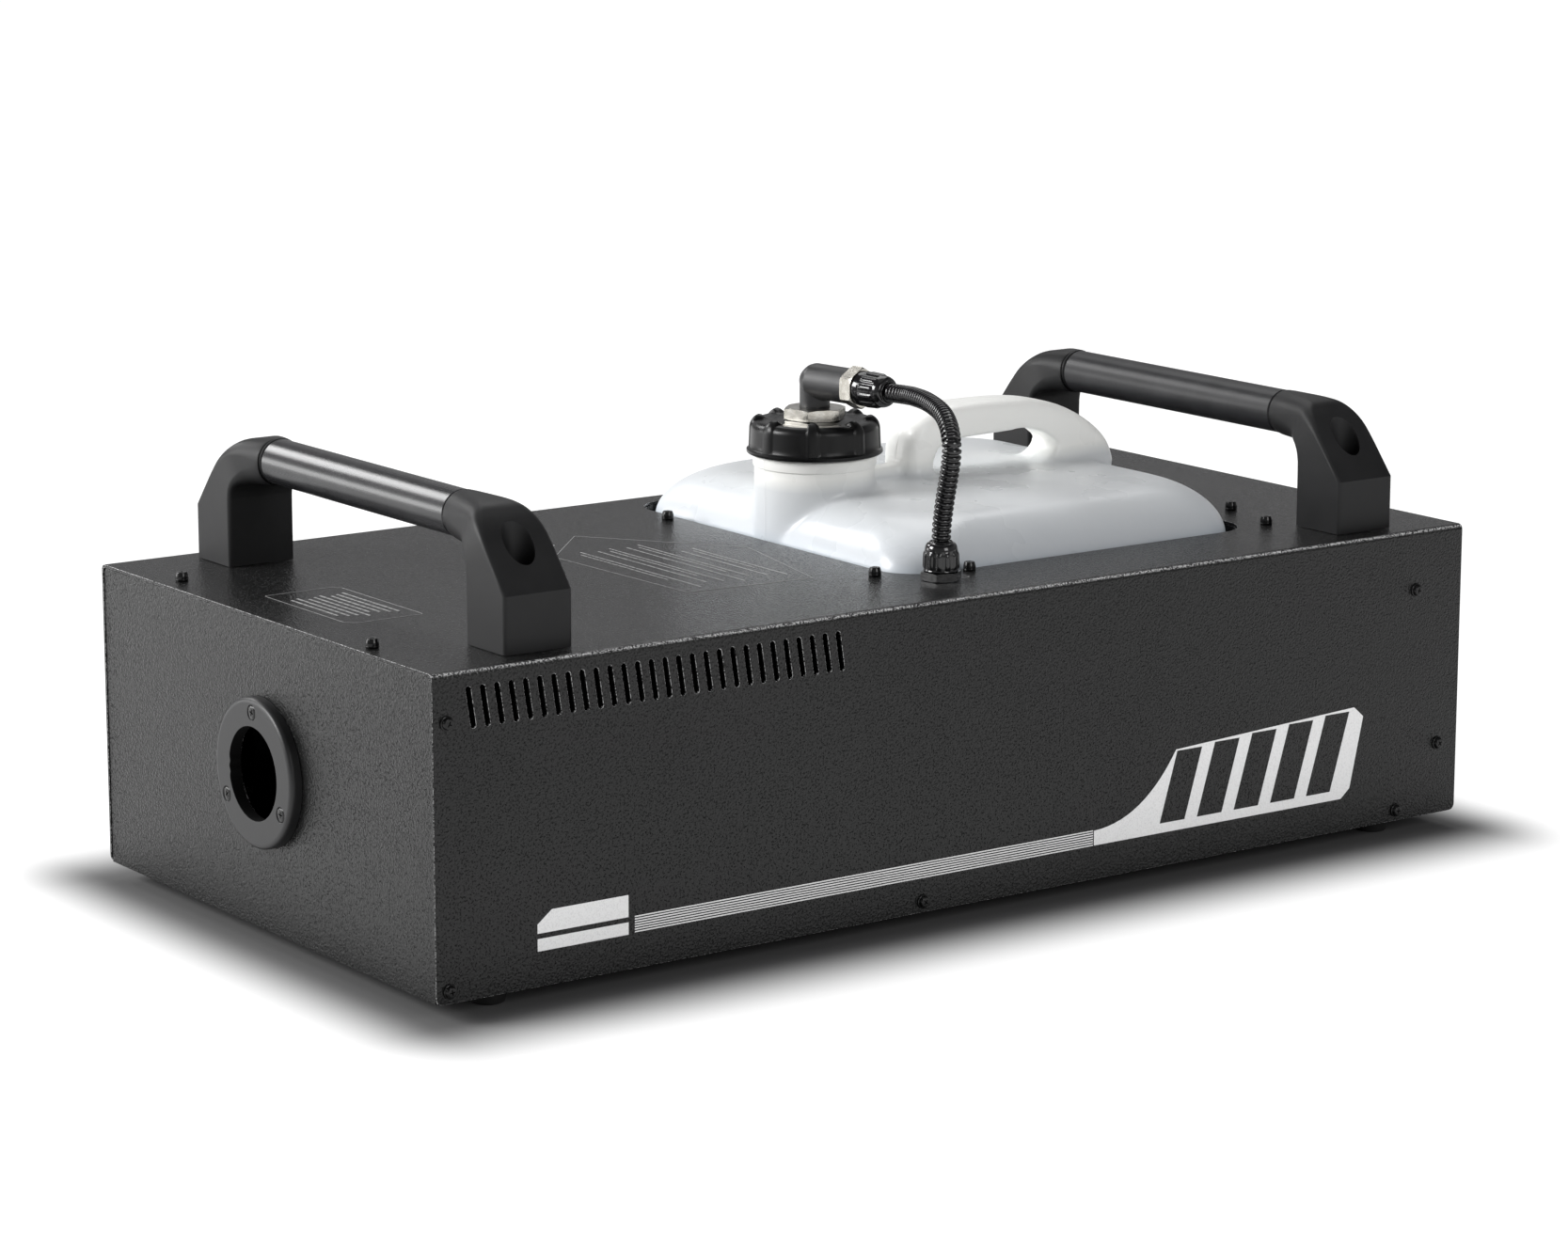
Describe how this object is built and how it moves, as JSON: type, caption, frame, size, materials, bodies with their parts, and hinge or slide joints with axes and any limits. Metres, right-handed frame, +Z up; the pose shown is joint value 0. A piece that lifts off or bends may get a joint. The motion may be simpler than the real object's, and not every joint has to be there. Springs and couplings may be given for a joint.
{
  "type": "fog machine",
  "caption": "Long black sheet-metal fog machine with a drop-in fluid can, a suction hose to a deck gland, two carrying handles and a round fog outlet.",
  "frame": {"origin": "bottom centre of the whole machine, on the floor under the rubber feet", "axes": "+Z up, Y along the case with the fog outlet facing -Y, X across the case with the hose gland on the +X side"},
  "size_m": [0.3234, 0.6466, 0.255],
  "materials": {
    "case_black": "textured powder coat, satin",
    "steel_bare": "zinc-plated steel",
    "nylon_black": "moulded nylon, matte",
    "tube_black": "black anodised",
    "screw_black": "black oxide",
    "rubber_black": "matte rubber",
    "can_natural": "natural translucent polyethylene",
    "cap_black": "moulded plastic, satin",
    "nickel": "nickel-plated brass",
    "conduit_black": "glossy nylon",
    "heater_alloy": "cast, as machined",
    "brass": "machined",
    "line_natural": "clear-white PTFE",
    "board_green": "solder mask",
    "fitting_black": "moulded, matte"
  },
  "bodies": {
    "chassis": {"cover": "case_black", "base_pan": "case_black", "front_panel": "case_black", "rear_panel": "case_black", "tank_bay": "case_black", "foot_front_left": "rubber_black", "foot_front_right": "rubber_black", "foot_rear_left": "rubber_black", "foot_rear_right": "rubber_black", "outlet_ring": "nylon_black", "ring_screw_top": "screw_black", "ring_screw_left": "screw_black", "ring_screw_right": "screw_black", "front_handle_tube": "tube_black", "front_handle_shank_left": "nylon_black", "front_handle_shank_right": "nylon_black", "front_handle_screw_left": "steel_bare", "front_handle_screw_right": "steel_bare", "rear_handle_tube": "tube_black", "rear_handle_shank_left": "nylon_black", "rear_handle_shank_right": "nylon_black", "rear_handle_screw_left": "steel_bare", "rear_handle_screw_right": "steel_bare", "heater_block": "heater_alloy", "heater_rod_left": "steel_bare", "heater_rod_right": "steel_bare", "heater_shield": "steel_bare", "heater_stand_front": "steel_bare", "heater_stand_rear": "steel_bare", "nozzle": "brass", "thermal_cutout": "fitting_black", "pump_body": "fitting_black", "pump_bracket": "steel_bare", "suction_line": "line_natural", "pressure_line": "steel_bare", "board_bracket": "steel_bare", "control_board": "board_green", "transformer": "case_black", "terminal_block": "fitting_black", "mains_inlet": "fitting_black", "switch_frame": "fitting_black", "fuse_holder": "fitting_black", "remote_socket": "fitting_black", "side_screw_left": "screw_black", "side_screw_right": "screw_black", "gland_body": "conduit_black"},
    "tank": {"tank": "can_natural", "cap_nut": "nickel", "elbow": "nylon_black", "elbow_collar": "nickel", "hose": "conduit_black", "pickup_tube": "line_natural", "pickup_filter": "brass"},
    "cap": {"tank_cap": "cap_black"},
    "hose_nut": {"hose_nut": "conduit_black"},
    "gland_nut": {"gland_nut": "conduit_black"},
    "rocker": {"switch_rocker": "conduit_black"},
    "fuse_cap": {"fuse_cap": "fitting_black"},
    "plunger": {"pump_plunger": "steel_bare"}
  },
  "joints": [
    {"name": "tank_lift", "type": "slide", "parent": "chassis", "child": "tank", "axis": [0, 0, 1], "range_m": [0, 0.13]},
    {"name": "cap_turn", "type": "hinge", "parent": "tank", "child": "cap", "pos_m": [-0.0197, 0.025, 0.215], "axis": [0, 0, 1], "range_deg": [0, 540]},
    {"name": "hose_nut_turn", "type": "hinge", "parent": "tank", "child": "hose_nut", "pos_m": [0.02486, 0.03126, 0.244], "axis": [0.9903, 0.1392, 0], "range_deg": [0, 720]},
    {"name": "gland_nut_turn", "type": "hinge", "parent": "tank", "child": "gland_nut", "pos_m": [0.1185, 0.002, 0.176], "axis": [0, 0, 1], "range_deg": [0, 720]},
    {"name": "rocker_tilt", "type": "hinge", "parent": "chassis", "child": "rocker", "pos_m": [-0.06, 0.3113, 0.069], "axis": [1, 0, 0], "range_deg": [-10, 10]},
    {"name": "fuse_cap_turn", "type": "hinge", "parent": "chassis", "child": "fuse_cap", "pos_m": [-0.022, 0.3203, 0.069], "axis": [0, 1, 0], "range_deg": [0, 60]},
    {"name": "plunger_stroke", "type": "slide", "parent": "chassis", "child": "plunger", "axis": [0, 1, 0], "range_m": [0, 0.004], "stiffness_N_per_m": 400}
  ]
}
